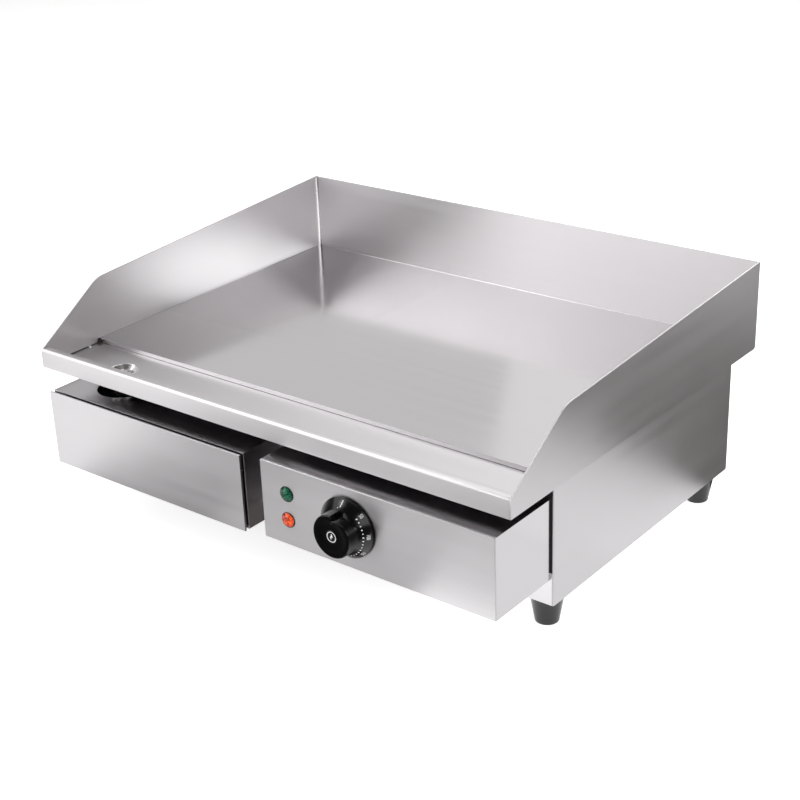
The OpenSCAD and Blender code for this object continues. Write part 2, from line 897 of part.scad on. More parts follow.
// Cord entry: threaded body through the rear panel, with a domed outer nut
module cable_gland() {
    dome = concat(
        [[cord_r, -10], [7.9, -10], [7.9, body_t], [11, body_t], [11, body_t + 8]],
        arc(6, body_t + 8, 5, 0, 70, 6),
        [[cord_r, body_t + 13]]
    );
    color(black)
        translate([gland_x, body_end_y - body_t, gland_z])
            rotate([-90, 0, 0])
                rotate_extrude($fn = round_fn)
                    polygon(dome);
}

module gland_nut() {
    color(black)
        y_nut([gland_x, body_end_y - body_t - 5, gland_z], 7.9, 22, 5);
}

// Stud for the bonding lead, with its two nuts
module bonding_stud() {
    color("#c9a35a") {
        y_rod([stud_x, body_end_y - 14, stud_z], bond_r, 18);
        y_rod([stud_x, body_end_y + 4, stud_z], bond_tip_r, 10);
    }
}

module bonding_nuts() {
    color("#c9a35a") {
        y_nut([stud_x, body_end_y - body_t - 4, stud_z], bond_r, 8, 4);
        y_nut([stud_x, body_end_y, stud_z], bond_r, 8, 4);
    }
}

// Tapered rubber foot with a recess for its screw
module foot() {
    outline = concat(
        [[foot_screw_r, body_bottom], [foot_top_r, body_bottom], [foot_top_r, body_bottom - 2]],
        arc(foot_base_r - 1.5, 1.5, 1.5, 0, -90),
        [[5.5, 0], [5.5, foot_recess], [foot_screw_r, foot_recess]]
    );
    rotate_extrude($fn = round_fn)
        polygon(outline);
}

module feet() {
    color(black)
        for (p = foot_places)
            translate([p[0], p[1], 0])
                foot();
}

module foot_screws() {
    color("#a5a3a2")
        for (p = foot_places)
            translate([p[0], p[1], 0]) {
                translate([0, 0, foot_recess - 3])
                    cylinder(r = 4.5, h = 3, $fn = round_fn);
                translate([0, 0, foot_recess])
                    cylinder(r = foot_screw_r, h = base_top + 6 - foot_recess, $fn = 32);
            }
}

module foot_nuts() {
    color("#a5a3a2")
        for (p = foot_places)
            z_nut([p[0], p[1], base_top], foot_screw_r, 8, 4);
}

// Pan-head screws up through the bottom cover
module base_screws() {
    color("#a5a3a2")
        for (side = [-1, 1], y = bracket_y)
            translate([side * bracket_screw_x, body_y + y, 0]) {
                translate([0, 0, body_bottom - 1.8])
                    cylinder(r = 3.6, h = 1.8, $fn = 32);
                translate([0, 0, body_bottom])
                    cylinder(r = 2, h = 8, $fn = 32);
            }
}

// Pan-head screws round the rear panel
module rear_screws() {
    panel_half = body_half - body_t;
    color("#a5a3a2")
        for (x = [-1, 1], z = [38, 128]) {
            y_rod([x * (panel_half - 9), body_end_y, z], 3.6, 1.8);
            y_rod([x * (panel_half - 9), body_end_y - 8, z], 2, 8);
        }
}

left_guard();
right_guard();
rear_guard();
front_trough();
griddle_plate();
corner_welds();
plate_welds();
drain_pipe();
body_shell();
rear_panel();
base_plate();
heat_shield();
insulation_mat();
heating_elements();
clamp_bars();
clamp_studs();
clamp_nuts();
sensor_bulb();
bulb_clip();
capillary_tube();
drawer_sleeve();
drawer_runners();
drawer_tray();
drawer_front();
drawer_rivets();
control_shell();
control_panel();
control_rivets();
knob();
knob_cap();
thermostat_shaft();
thermostat_body();
thermostat_screws();
green_lens();
amber_lens();
lamp_bezels();
lamp_bodies();
lamp_nuts();
terminal_block();
terminal_screws();
wiring_harness();
overheat_cutout();
reset_button();
cable_gland();
gland_nut();
bonding_stud();
bonding_nuts();
feet();
foot_screws();
foot_nuts();
base_brackets();
base_screws();
rear_screws();
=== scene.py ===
"""Looks of the countertop electric griddle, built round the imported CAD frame."""

import json
import math

import bmesh
import bpy
from mathutils import Matrix, Vector

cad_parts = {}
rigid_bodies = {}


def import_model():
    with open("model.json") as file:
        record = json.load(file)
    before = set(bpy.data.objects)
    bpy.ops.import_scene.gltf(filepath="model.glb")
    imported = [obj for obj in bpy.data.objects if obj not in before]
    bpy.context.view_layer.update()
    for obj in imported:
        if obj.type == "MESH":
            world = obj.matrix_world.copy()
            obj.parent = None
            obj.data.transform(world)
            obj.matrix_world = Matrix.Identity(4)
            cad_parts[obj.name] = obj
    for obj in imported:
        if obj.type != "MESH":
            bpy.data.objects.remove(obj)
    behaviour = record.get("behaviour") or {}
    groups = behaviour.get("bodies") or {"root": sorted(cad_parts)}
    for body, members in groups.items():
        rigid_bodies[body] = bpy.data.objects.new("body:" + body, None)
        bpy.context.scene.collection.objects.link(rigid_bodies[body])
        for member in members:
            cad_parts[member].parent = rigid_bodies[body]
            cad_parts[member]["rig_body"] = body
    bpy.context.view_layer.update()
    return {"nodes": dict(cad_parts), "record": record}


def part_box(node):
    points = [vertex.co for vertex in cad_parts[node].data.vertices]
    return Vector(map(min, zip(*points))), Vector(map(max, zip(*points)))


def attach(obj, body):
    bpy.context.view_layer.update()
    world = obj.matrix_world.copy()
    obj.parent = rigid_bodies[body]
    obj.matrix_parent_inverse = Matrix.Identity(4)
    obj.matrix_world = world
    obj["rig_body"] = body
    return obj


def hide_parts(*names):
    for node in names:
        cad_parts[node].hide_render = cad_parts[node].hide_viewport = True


MM = 0.001

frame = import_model()
nodes = frame["nodes"]
slot_of = {s["node"]: s["material_slot"] for s in frame["record"]["subparts"]}


# ---------------------------------------------------------------- materials

class Graph:
    """A material's node tree, with short calls for adding and joining nodes."""

    def __init__(self, name):
        self.material = bpy.data.materials.new(name)
        self.material.use_nodes = True
        self.tree = self.material.node_tree
        self.shader = self.tree.nodes["Principled BSDF"]
        self.coords = self.add("ShaderNodeTexCoord")

    def add(self, kind, inputs=None, **settings):
        node = self.tree.nodes.new(kind)
        for key, value in settings.items():
            setattr(node, key, value)
        for key, value in (inputs or {}).items():
            self.put(node, key, value)
        return node

    def put(self, node, key, value):
        """Joins value to the node's socket if it is a socket, and sets it as a constant otherwise."""
        if isinstance(value, bpy.types.NodeSocket):
            self.tree.links.new(value, node.inputs[key])
        else:
            node.inputs[key].default_value = value

    def set(self, **inputs):
        for key, value in inputs.items():
            self.put(self.shader, key.replace("_", " "), value)

    def math(self, operation, a, b=0.0):
        return self.add("ShaderNodeMath", {0: a, 1: b}, operation=operation).outputs[0]

    def stretched(self, vector, scale):
        node = self.add("ShaderNodeMapping", {"Vector": vector, "Scale": scale})
        return node.outputs[0]

    def noise(self, vector, scale, detail=2.0, roughness=0.5):
        inputs = {"Vector": vector, "Scale": scale, "Detail": detail, "Roughness": roughness}
        return self.add("ShaderNodeTexNoise", inputs).outputs["Fac"]

    def remap(self, value, low, high, from_low=0.0, from_high=1.0):
        inputs = {"Value": value, 1: from_low, 2: from_high, 3: low, 4: high}
        return self.add("ShaderNodeMapRange", inputs).outputs[0]

    def mix(self, factor, a, b):
        node = self.add("ShaderNodeMix", data_type="RGBA")
        self.put(node, 0, factor)
        self.put(node, 6, a)
        self.put(node, 7, b)
        return node.outputs[2]

    def bump(self, height, strength, distance, normal=None):
        inputs = {"Height": height, "Strength": strength, "Distance": distance}
        if normal is not None:
            inputs["Normal"] = normal
        return self.add("ShaderNodeBump", inputs).outputs[0]


def rgb(color, factor=1.0):
    return (color[0] * factor, color[1] * factor, color[2] * factor, 1.0)


WHITE = (1.0, 1.0, 1.0)
BLACK = (0.0, 0.0, 0.0)
BURNT = (0.16, 0.12, 0.1)
# A face counts as looking along an axis when that part of its normal is above this
FACES_AXIS = 0.7


def brushed(
    name, color, rough=0.34, spread=0.04, aniso=0.75, grain=0.02, wave=0.05, shade=0.03, heat=None
):
    """Sheet steel with a horizontal grain: its lines run along X, or along Y on faces that look sideways.

    grain and wave are the strengths of the bump from the brushed streaks and from the sheet's slow
    unevenness. heat is the middle and the half lengths, in metres, of a spot that welding has browned.
    """
    g = Graph(name)
    place = g.coords.outputs["Object"]
    normal = g.add("ShaderNodeSeparateXYZ", {0: g.coords.outputs["Normal"]})
    side = g.math("GREATER_THAN", g.math("ABSOLUTE", normal.outputs[0]), FACES_AXIS)
    flat = g.math("GREATER_THAN", g.math("ABSOLUTE", normal.outputs[2]), FACES_AXIS)
    along = g.mix(side, g.stretched(place, (14, 900, 900)), g.stretched(place, (900, 14, 900)))
    broad = g.mix(side, g.stretched(place, (3, 110, 110)), g.stretched(place, (110, 3, 110)))
    fine = g.noise(along, 1.0, 3.0, 0.6)
    streak = g.noise(broad, 1.0, 3.0, 0.55)
    cloud = g.noise(place, 9.0, 3.0, 0.5)
    patch = g.noise(place, 3.1, 1.0, 0.5)
    tone = g.math("ADD", g.math("MULTIPLY", fine, 0.35), g.math("MULTIPLY", streak, 0.65))
    base = g.mix(tone, rgb(color, 1 - shade), rgb(color, 1 + shade))
    if heat:
        spot, reach = heat
        offset = g.add("ShaderNodeVectorMath", {0: place, 1: spot}, operation="SUBTRACT").outputs[0]
        scaled = g.add("ShaderNodeVectorMath", {0: offset, 1: reach}, operation="DIVIDE").outputs[0]
        away = g.add("ShaderNodeVectorMath", {0: scaled}, operation="LENGTH").outputs["Value"]
        base = g.mix(g.remap(away, 0.85, 0.0, 0.2, 1.0), base, rgb(BURNT))
    smudge = g.remap(cloud, -1.0, 1.0, 0.35, 0.65)
    level = g.math("ADD", rough, g.math("MULTIPLY", g.remap(streak, -1.0, 1.0), spread))
    level = g.math("ADD", level, g.math("MULTIPLY", smudge, spread * 0.4))
    height = g.bump(patch, wave, 0.002)
    height = g.bump(streak, grain, 0.0001, height)
    upright = g.add("ShaderNodeCombineXYZ", {2: 1.0}).outputs[0]
    across = g.add("ShaderNodeCombineXYZ", {1: 1.0}).outputs[0]
    tangent = g.mix(flat, upright, across)
    g.set(Base_Color=base, Metallic=1.0, Roughness=level, Anisotropic=aniso)
    g.set(Normal=height, Tangent=tangent)
    return g.material


def metal(name, color, rough=0.25, spread=0.12, scale=180.0, bump=0.05):
    """Plain metal with fine mottling, for small fittings."""
    g = Graph(name)
    place = g.coords.outputs["Object"]
    grain = g.noise(place, scale, 4.0, 0.6)
    cloud = g.noise(place, scale * 0.15, 2.0, 0.5)
    base = g.mix(cloud, rgb(color, 0.9), rgb(color, 1.06))
    g.set(Base_Color=base, Metallic=1.0, Normal=g.bump(grain, bump, 0.0002))
    g.set(Roughness=g.remap(grain, rough - spread / 2, rough + spread / 2, 0.3, 0.7))
    return g.material


def plastic(
    name, color, rough=0.3, spread=0.08, scale=400.0, bump=0.03, coat=0.0, fade=1.3, gloss=0.5
):
    """Moulded plastic, rubber or ceramic with a fine surface and faint uneven colour."""
    g = Graph(name)
    place = g.coords.outputs["Object"]
    grain = g.noise(place, scale, 3.0, 0.6)
    cloud = g.noise(place, scale * 0.08, 2.0, 0.5)
    base = g.mix(g.remap(cloud, 0.0, 1.0, 0.35, 0.7), rgb(color), rgb(color, fade))
    g.set(Base_Color=base, Normal=g.bump(grain, bump, 0.0002), Coat_Weight=coat)
    g.set(Roughness=g.remap(grain, rough - spread / 2, rough + spread / 2, 0.3, 0.7))
    g.set(Coat_Roughness=0.08, Specular_IOR_Level=gloss)
    return g.material


def lens_glass(name, deep, bright, glow):
    """Coloured plastic over a faceted reflector: its glints painted as light and dark cells, darker where
    seen edge on.
    """
    g = Graph(name)
    place = g.coords.outputs["Object"]
    cells = g.add("ShaderNodeTexVoronoi", {"Vector": place, "Scale": 480.0})
    # Painted glints: each cell of the reflector gets its own lightness
    painted_glint = g.add("ShaderNodeSeparateXYZ", {0: cells.outputs["Color"]}).outputs[0]
    rim = g.add("ShaderNodeLayerWeight", {"Blend": 0.4}).outputs["Facing"]
    shade = g.math("ADD", g.math("MULTIPLY", rim, 0.7), g.math("MULTIPLY", painted_glint, 0.8))
    g.set(Base_Color=g.mix(shade, rgb(bright), rgb(deep)), Roughness=0.14)
    g.set(Coat_Weight=0.5, Coat_Roughness=0.04, Specular_IOR_Level=0.35)
    g.set(Normal=g.bump(cells.outputs["Distance"], 0.5, 0.0006))
    # The glow follows the painted glints and the rim: strongest in the light cells
    g.set(Emission_Color=rgb(bright), Emission_Strength=g.remap(shade, glow, glow * 0.1, 0.15, 0.95))
    return g.material


def woven(name, color):
    """Ceramic fibre mat: soft, with a felted surface."""
    g = Graph(name)
    place = g.coords.outputs["Object"]
    fibre = g.noise(g.stretched(place, (500, 900, 500)), 1.0, 6.0, 0.7)
    base = g.mix(fibre, rgb(color, 0.8), rgb(color, 1.05))
    g.set(Base_Color=base, Roughness=0.95, Normal=g.bump(fibre, 0.6, 0.0008))
    return g.material


STEEL = (0.625, 0.61, 0.622)
PLATE = (0.605, 0.592, 0.602)
KNOB_BLACK = (0.001, 0.001, 0.0014)
# The plate's front left corner, which welding has browned, and the spot's half lengths
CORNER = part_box("griddle_plate")[0] + Vector((8, 0, 3)) * MM
CORNER_REACH = (0.01, 0.005, 0.003)
MATERIALS = {
    "stainless": brushed("stainless", STEEL),
    "plate_steel": brushed(
        "plate_steel", PLATE, 0.13, 0.03, 0.45, 0.01, 0.02, 0.025, (CORNER, CORNER_REACH)
    ),
    "weld": metal("weld", (0.63, 0.615, 0.622), 0.24, 0.1, 300.0, 0.04),
    "polished_steel": metal("polished_steel", (0.66, 0.645, 0.65), 0.24, 0.08, 260.0, 0.02),
    "element_sheath": metal("element_sheath", (0.2, 0.185, 0.175), 0.45, 0.2, 220.0, 0.15),
    "zinc_steel": metal("zinc_steel", (0.6, 0.6, 0.585), 0.3, 0.15, 300.0, 0.05),
    "insulation": woven("insulation", (0.85, 0.82, 0.74)),
    "copper": metal("copper", (0.78, 0.42, 0.28), 0.28, 0.15, 260.0, 0.05),
    "knob_black": plastic("knob_black", KNOB_BLACK, 0.2, 0.04, 500.0, 0.01, 0.0, 1.3, 0.33),
    "trim_black": plastic("trim_black", (0.008, 0.008, 0.009), 0.42, 0.1, 420.0, 0.05),
    "ceramic": plastic("ceramic", (0.8, 0.77, 0.7), 0.35, 0.1, 300.0, 0.05, 0.2, 1.05),
    "nylon": plastic("nylon", (0.78, 0.76, 0.71), 0.45, 0.1, 300.0, 0.05, 0.0, 1.05),
    "green_lens": lens_glass("green_lens", (0.0, 0.003, 0.002), (0.0, 0.12, 0.055), 0.3),
    "amber_lens": lens_glass("amber_lens", (0.2, 0.008, 0.002), (0.85, 0.1, 0.02), 0.45),
    "reset_red": plastic("reset_red", (0.5, 0.03, 0.02), 0.25, 0.08, 400.0, 0.03, 0.3),
    "brass": metal("brass", (0.8, 0.58, 0.25), 0.25, 0.15, 300.0, 0.05),
    "wire": plastic("wire", (0.74, 0.71, 0.62), 0.5, 0.1, 350.0, 0.05, 0.0, 1.06),
    "foot_rubber": plastic("foot_rubber", (0.005, 0.0048, 0.0048), 0.2, 0.08, 350.0, 0.03, 0.3),
}
KNOB_FACE = plastic("knob_face", KNOB_BLACK, 0.3, 0.06, 500.0, 0.01, 0.0, 1.3, 0.04)
BOX_STEEL = brushed("box_steel", STEEL, 0.17, 0.04, 0.5, 0.01, 0.02, 0.03)
PRINT = plastic("dial_print", (0.72, 0.72, 0.72), 0.5, 0.08, 500.0, 0.02, 0.0, 1.05)
# Near black: the dark joints of the seams, and the painted shade on the body's front
SEAM_AND_SHADE = plastic("dark_seam_and_painted_shade", (0.006, 0.005, 0.005), 0.7, 0.1, 500.0, 0.1)

for name, node in nodes.items():
    node.data.materials.clear()
    node.data.materials.append(MATERIALS[slot_of[name]])


# ---------------------------------------------------------------- pieces

SMOOTH = math.radians(38)


def mesh_object(name, bm, material, smooth=SMOOTH):
    """Makes an object from a bmesh; faces that meet at less than the angle are shaded smooth."""
    bmesh.ops.recalc_face_normals(bm, faces=bm.faces)
    for face in bm.faces:
        face.smooth = smooth > 0
    for edge in bm.edges:
        edge.smooth = edge.calc_face_angle(math.pi) < smooth
    data = bpy.data.meshes.new(name)
    bm.to_mesh(data)
    bm.free()
    data.materials.append(material)
    obj = bpy.data.objects.new(name, data)
    bpy.context.scene.collection.objects.link(obj)
    return obj


def stands_for(obj, *names):
    """The piece takes the place of these CAD nodes, and rides on the first one's body."""
    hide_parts(*names)
    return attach(obj, nodes[names[0]]["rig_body"])


def add_piece(name, bm, node, smooth=SMOOTH, material=None):
    """A piece that stands for a CAD node, in its slot's material unless another is given."""
    obj = mesh_object(name, bm, material or MATERIALS[slot_of[node]], smooth)
    return stands_for(obj, node)


def refine(name, width):
    """Copies a CAD node with its flat faces joined and its edges eased by width, in mm."""
    bm = bmesh.new()
    bm.from_mesh(nodes[name].data)
    bmesh.ops.remove_doubles(bm, verts=bm.verts, dist=1e-6)
    bmesh.ops.dissolve_limit(
        bm, angle_limit=math.radians(0.5), verts=bm.verts, edges=bm.edges, delimit={"NORMAL"}
    )
    obj = add_piece(name + "_formed", bm, name, math.radians(31))
    bevel = obj.modifiers.new("eased_edges", "BEVEL")
    bevel.width = width * MM
    bevel.segments = 4 if width > EASED else 2
    bevel.limit_method = "ANGLE"
    bevel.angle_limit = math.radians(50)
    bevel.harden_normals = True
    return obj


def lathe(bm, profile, matrix, steps=64):
    """Turns (radius, height) pairs, in mm, about the local Z axis; matrix sets it in place."""
    rings = []
    for radius, height in profile:
        if radius < 1e-6:
            rings.append([bm.verts.new(matrix @ Vector((0, 0, height * MM)))])
            continue
        ring = []
        for k in range(steps):
            a = math.tau * k / steps
            place = Vector((radius * math.cos(a), radius * math.sin(a), height)) * MM
            ring.append(bm.verts.new(matrix @ place))
        rings.append(ring)
    for low, high in zip(rings, rings[1:]):
        for k in range(steps):
            corners = [low[k % len(low)], low[(k + 1) % len(low)]]
            corners += [high[(k + 1) % len(high)], high[k % len(high)]]
            unique = list(dict.fromkeys(corners))
            if len(unique) > 2:
                bm.faces.new(unique)


def arc(cx, cy, radius, start, end, steps=6):
    """Points of an arc for a lathe profile, angles in degrees."""
    turns = [math.radians(start + (end - start) * k / steps) for k in range(steps + 1)]
    return [(cx + radius * math.cos(t), cy + radius * math.sin(t)) for t in turns]


def facing(x, y, z, toward):
    """Matrix that sets a lathe's axis at a point, looking along -Y, +Y, +Z or -Z."""
    turn = {
        "-Y": Matrix.Rotation(math.pi / 2, 4, "X"),
        "+Y": Matrix.Rotation(-math.pi / 2, 4, "X"),
        "+Z": Matrix.Identity(4),
        "-Z": Matrix.Rotation(math.pi, 4, "X"),
    }[toward]
    return Matrix.Translation((x, y, z)) @ turn


def middle(name):
    low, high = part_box(name)
    return (low + high) / 2


SHEETS = [
    "left_guard", "right_guard", "rear_guard", "front_trough", "griddle_plate", "body_shell",
    "rear_panel", "base_plate", "drawer_sleeve", "drawer_tray", "drawer_front", "control_shell",
    "control_panel", "heat_shield", "drawer_runners",
]
# Widths in mm of eased edges: any sheet's, and those of the sheets folded with a wider bend
EASED = 0.25
FOLDED = {"control_panel": 1.8, "drawer_front": 0.7}
for name in SHEETS:
    sheet_piece = refine(name, FOLDED.get(name, EASED))
    if name in ("control_shell", "drawer_sleeve"):
        sheet_piece.data.materials[0] = BOX_STEEL

trough_low, trough_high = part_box("front_trough")
plate_low, plate_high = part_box("griddle_plate")
pan_low, pan_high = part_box("rear_guard")
front_y = trough_low.y


def weld_run(bm, start, end, toward_a, toward_b, outline):
    """A smooth run of weld from start to end. The outline is its section, in mm toward a and b."""
    rings = []
    for at in (start, end):
        rings.append([bm.verts.new(at + (toward_a * a + toward_b * b) * MM) for a, b in outline])
    count = len(outline)
    for k in range(count):
        bm.faces.new((rings[0][k], rings[0][(k + 1) % count], rings[1][(k + 1) % count], rings[1][k]))
    bm.faces.new(rings[0][::-1])
    bm.faces.new(rings[1])


def hollow(reach, steps=6):
    """The concave face of a ground fillet weld, from one face to the other."""
    turns = [math.pi / 2 * k / steps for k in range(steps + 1)]
    return [(reach * (1 - math.sin(t)), reach * (1 - math.cos(t))) for t in turns]


inner_x = trough_high.x
plate_top = plate_high.z
# Sizes in mm: the chamfer along the plate's edge, and how far each weld reaches out of its corner
CHAMFER = 1.6
CORNER_WELD = 2.8
PLATE_WELD = 0.35
up = Vector((0, 0, 1))
back = Vector((0, 1, 0))
right = Vector((1, 0, 0))

bm = bmesh.new()
for side in (-1, 1):
    foot = Vector((side * inner_x, pan_low.y, plate_top))
    top = Vector((side * inner_x, pan_low.y, pan_high.z - 1.0 * MM))
    weld_run(bm, foot, top, right * -side, -back, [(0, 0)] + hollow(CORNER_WELD))
add_piece("corner_welds_ground", bm, "corner_welds")

# Welds round the plate: ground nearly flush, filling the chamfer along its edge
flush = hollow(PLATE_WELD) + [(0, 0), (0, -CHAMFER), (CHAMFER, 0)]
bm = bmesh.new()
for side in (-1, 1):
    a = Vector((side * inner_x, plate_low.y, plate_top))
    b = Vector((side * inner_x, pan_low.y, plate_top))
    weld_run(bm, a, b, right * -side, up, flush)
a = Vector((-inner_x, pan_low.y, plate_top))
b = Vector((inner_x, pan_low.y, plate_top))
weld_run(bm, a, b, -back, up, flush)
add_piece("plate_welds_ground", bm, "plate_welds", material=MATERIALS["plate_steel"])

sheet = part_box("left_guard")[1].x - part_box("left_guard")[0].x
floor_z = plate_low.z + sheet
# How far a dark seam, and a strip of painted shade, stands out of the face that it lies on
GAP_DEEP = 0.05 * MM


def block(bm, low, high):
    """A closed box between two corners."""
    made = bmesh.ops.create_cube(bm, size=1.0)
    for v in made["verts"]:
        v.co = Vector([(a + b) / 2 + c * (b - a) for a, b, c in zip(low, high, v.co)])


# Dark seams where the plate and the trough meet, open at the front left corner
bm = bmesh.new()
seam = 0.32 * MM
fold_end = front_y + 15 * MM
block(bm, (-inner_x, plate_low.y - GAP_DEEP, floor_z), (inner_x, plate_low.y, floor_z + seam))
for side in (-1, 1):
    wall = sorted((side * inner_x, side * (inner_x - GAP_DEEP)))
    block(bm, (wall[0], fold_end, floor_z), (wall[1], plate_low.y, floor_z + 3 * seam))
foot = Vector((-inner_x, plate_low.y, floor_z))
on_wall = ((0, 0), (4.2, 0), (2.2, 4.6), (0, 5.0))
on_plate = ((2.4, 0), (1.2, 4.4))
gap = [bm.verts.new(foot + Vector((GAP_DEEP, -y * MM, z * MM))) for y, z in on_wall]
end = [bm.verts.new(foot + Vector((x * MM, -GAP_DEEP, z * MM))) for x, z in on_plate]
bm.faces.new(gap)
bm.faces.new((gap[0], gap[3], end[1], end[0]))
bm.faces.new((gap[1], gap[0], end[0]))
bm.faces.new((gap[2], gap[1], end[0], end[1]))
bm.faces.new((gap[3], gap[2], end[1]))
seams = mesh_object("trough_seams", bm, SEAM_AND_SHADE, 0)

# Painted shade on the front of the body: near black strips where it lies in deep shade, one beside the
# control box and one under the lip
bm = bmesh.new()
body_low, body_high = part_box("body_shell")
box_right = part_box("control_shell")[1].x
# Height of the foot of the painted shade beside the control box
SIDE_SHADE_FOOT = 60 * MM
BODY_SHEET = 1.2 * MM
side_shade_low = Vector((box_right, body_low.y - GAP_DEEP, SIDE_SHADE_FOOT))
block(bm, side_shade_low, (body_high.x - BODY_SHEET, body_low.y, plate_low.z))
# The painted shade under the lip runs from the drawer sleeve's top up to the plate
sleeve_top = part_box("drawer_sleeve")[1].z
shade_low = Vector((body_low.x + BODY_SHEET, body_low.y - GAP_DEEP, sleeve_top))
block(bm, shade_low, (box_right, body_low.y, plate_low.z))
painted_shade = mesh_object("painted_shade_strips", bm, SEAM_AND_SHADE, 0)
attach(painted_shade, nodes["body_shell"]["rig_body"])

# A tack weld at the left end of the trough
bm = bmesh.new()
spot = facing(-inner_x + 0.9 * MM, front_y + 58 * MM, floor_z, "+Z")
lathe(bm, [(1.9, 0), (1.8, 0.5), (1.2, 1.1), (0.6, 1.35), (0, 1.4)], spot, 24)
tack = mesh_object("trough_tack_weld", bm, MATERIALS["weld"])
for obj in (seams, tack):
    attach(obj, nodes["front_trough"]["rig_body"])

# The drain: a pipe with a dished rim, let into the trough's floor
drain_low, drain_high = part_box("drain_pipe")
drain = middle("drain_pipe")
dish_top = drain_high.z / MM - 0.4
pipe_end = drain_low.z / MM
bm = bmesh.new()
profile = [(11, pipe_end + 0.3), (11, dish_top - 4), (14.6, dish_top - 1.6), (15, dish_top - 0.3)]
profile += [(14.9, dish_top + 0.25), (14.5, dish_top + 0.4)]
profile += [(14.0, dish_top + 0.2), (13.6, dish_top - 0.5)]
profile += [(9.9, dish_top - 3.3), (9.5, dish_top - 4), (9.5, pipe_end + 0.3), (9.8, pipe_end)]
profile += [(10.7, pipe_end), (11, pipe_end + 0.3)]
lathe(bm, profile, facing(drain.x, drain.y, 0, "+Z"), 72)
bmesh.ops.remove_doubles(bm, verts=bm.verts, dist=1e-7)
add_piece("drain_pipe_turned", bm, "drain_pipe")


# Knob: flared skirt, grip with a spiral finger notch, dished front. Sizes are in mm and degrees.
knob_low, knob_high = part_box("knob")
knob = middle("knob")
skirt_r = (knob_high.x - knob_low.x) / 2 / MM
depth = (knob_high.y - knob_low.y) / MM
GRIP_R = 19.7
ROUNDING = 1.6
FACE_R = 15.5
DISH_R = 12.0
DISH_DEPTH = 1.2
NOTCH_START = 1.0
NOTCH_END = 67.0
NOTCH_DEPTH = 4.4
SKIRT = 10.4
CONE = [(skirt_r - 0.2, 2.2), (GRIP_R + 1.3, SKIRT - 0.6)]


def clock(angle, radius):
    """A place on the knob seen from the front: angle clockwise from the top, in degrees."""
    t = math.radians(angle)
    return Vector((knob.x + radius * MM * math.sin(t), 0, knob.z + radius * MM * math.cos(t)))


bm = bmesh.new()
profile = [(3, 1), (20, 1), (20, 0), (skirt_r - 0.5, 0), (skirt_r, 0.5), (skirt_r, 1.6), CONE[0]]
profile += [CONE[1], (GRIP_R + 0.3, SKIRT + 0.3), (GRIP_R, SKIRT + 1.2), (GRIP_R, depth - 2.2)]
profile += arc(GRIP_R - ROUNDING, depth - ROUNDING, ROUNDING, 15, 90, 6)
profile += [(FACE_R, depth), (14.6, depth - 0.25), (DISH_R, depth - 0.95)]
profile += [(8.5, depth - DISH_DEPTH), (0, depth - DISH_DEPTH)]
lathe(bm, profile, facing(knob.x, knob_high.y, knob.z, "-Y"), 180)
grip_front = knob_high.y - (SKIRT + 0.8) * MM
for v in bm.verts:
    across = Vector((v.co.x - knob.x, v.co.z - knob.z)) / MM
    angle = math.degrees(math.atan2(across.x, across.y))
    radius = across.length
    if v.co.y > grip_front or not NOTCH_START < angle < NOTCH_END or radius <= DISH_R:
        continue
    drop = NOTCH_DEPTH * (NOTCH_END - angle) / (NOTCH_END - NOTCH_START)
    rim = GRIP_R - ROUNDING - 0.1 - drop
    if radius > GRIP_R - ROUNDING - 0.05:
        moved = radius - drop
    else:
        moved = DISH_R + (radius - DISH_R) * min(1.0, (rim - DISH_R) / (FACE_R - DISH_R))
    v.co.x += (moved / radius - 1) * across.x * MM
    v.co.z += (moved / radius - 1) * across.y * MM

# The face is duller than the grip and the skirt
bm.normal_update()
face_back = knob_low.y + (DISH_DEPTH + 0.1) * MM
for face in bm.faces:
    if face.calc_center_median().y < face_back and abs(face.normal.y) > 0.9:
        face.material_index = 1
moulded = add_piece("knob_moulded", bm, "knob", math.radians(28))
moulded.data.materials.append(KNOB_FACE)

bm = bmesh.new()
cap = middle("knob_cap")
cap_low, cap_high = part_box("knob_cap")
disc_profile = [(0, 0.5), (5.6, 0.5), (6, 0.3), (6, 0), (0, 0)]
lathe(bm, disc_profile, facing(cap.x, cap_high.y, cap.z, "-Y"), 64)
add_piece("knob_cap_disc", bm, "knob_cap")


def on_cone(angle, radius, lift=0.06):
    """A place on the skirt's cone, angle clockwise from the top."""
    (r0, d0), (r1, d1) = CONE
    spot = clock(angle, radius)
    spot.y = knob_high.y - (d0 + (d1 - d0) * (r0 - radius) / (r0 - r1) + lift) * MM
    return spot


def cone_patch(bm, angle, radius, outline):
    """Prints an outline, given as (sideways, outward) in mm, on the skirt."""
    corners = []
    for u, v in outline:
        turn = angle + math.degrees(u / radius)
        corners.append(bm.verts.new(on_cone(turn, radius + v)))
    return bm.faces.new(corners)


def text_mesh(text, size):
    """Flat numerals as a mesh, centred on the origin, size in mm."""
    curve = bpy.data.curves.new("numerals", "FONT")
    curve.body = text
    curve.size = size
    curve.align_x = "CENTER"
    curve.align_y = "CENTER"
    holder = bpy.data.objects.new("numerals", curve)
    bpy.context.scene.collection.objects.link(holder)
    bpy.context.view_layer.update()
    shape = holder.evaluated_get(bpy.context.evaluated_depsgraph_get())
    data = bpy.data.meshes.new_from_object(shape)
    bpy.data.objects.remove(holder)
    return data


def dot(radius, corners=10):
    """Outline of a small round dot."""
    turns = [math.tau * k / corners for k in range(corners)]
    return [(radius * math.cos(t), radius * math.sin(t)) for t in turns]


# The dial: dots and numbers along the skirt, and the pointer's mark. Angles run clockwise from the top.
DIAL_START = 47
DOT_STEP = 8.5
DOT_R = 23.0
DOTS_PER_NUMBER = 5
NUMBER_R = 25.9
NUMBERS = ("50", "100", "150", "200", "250", "300")

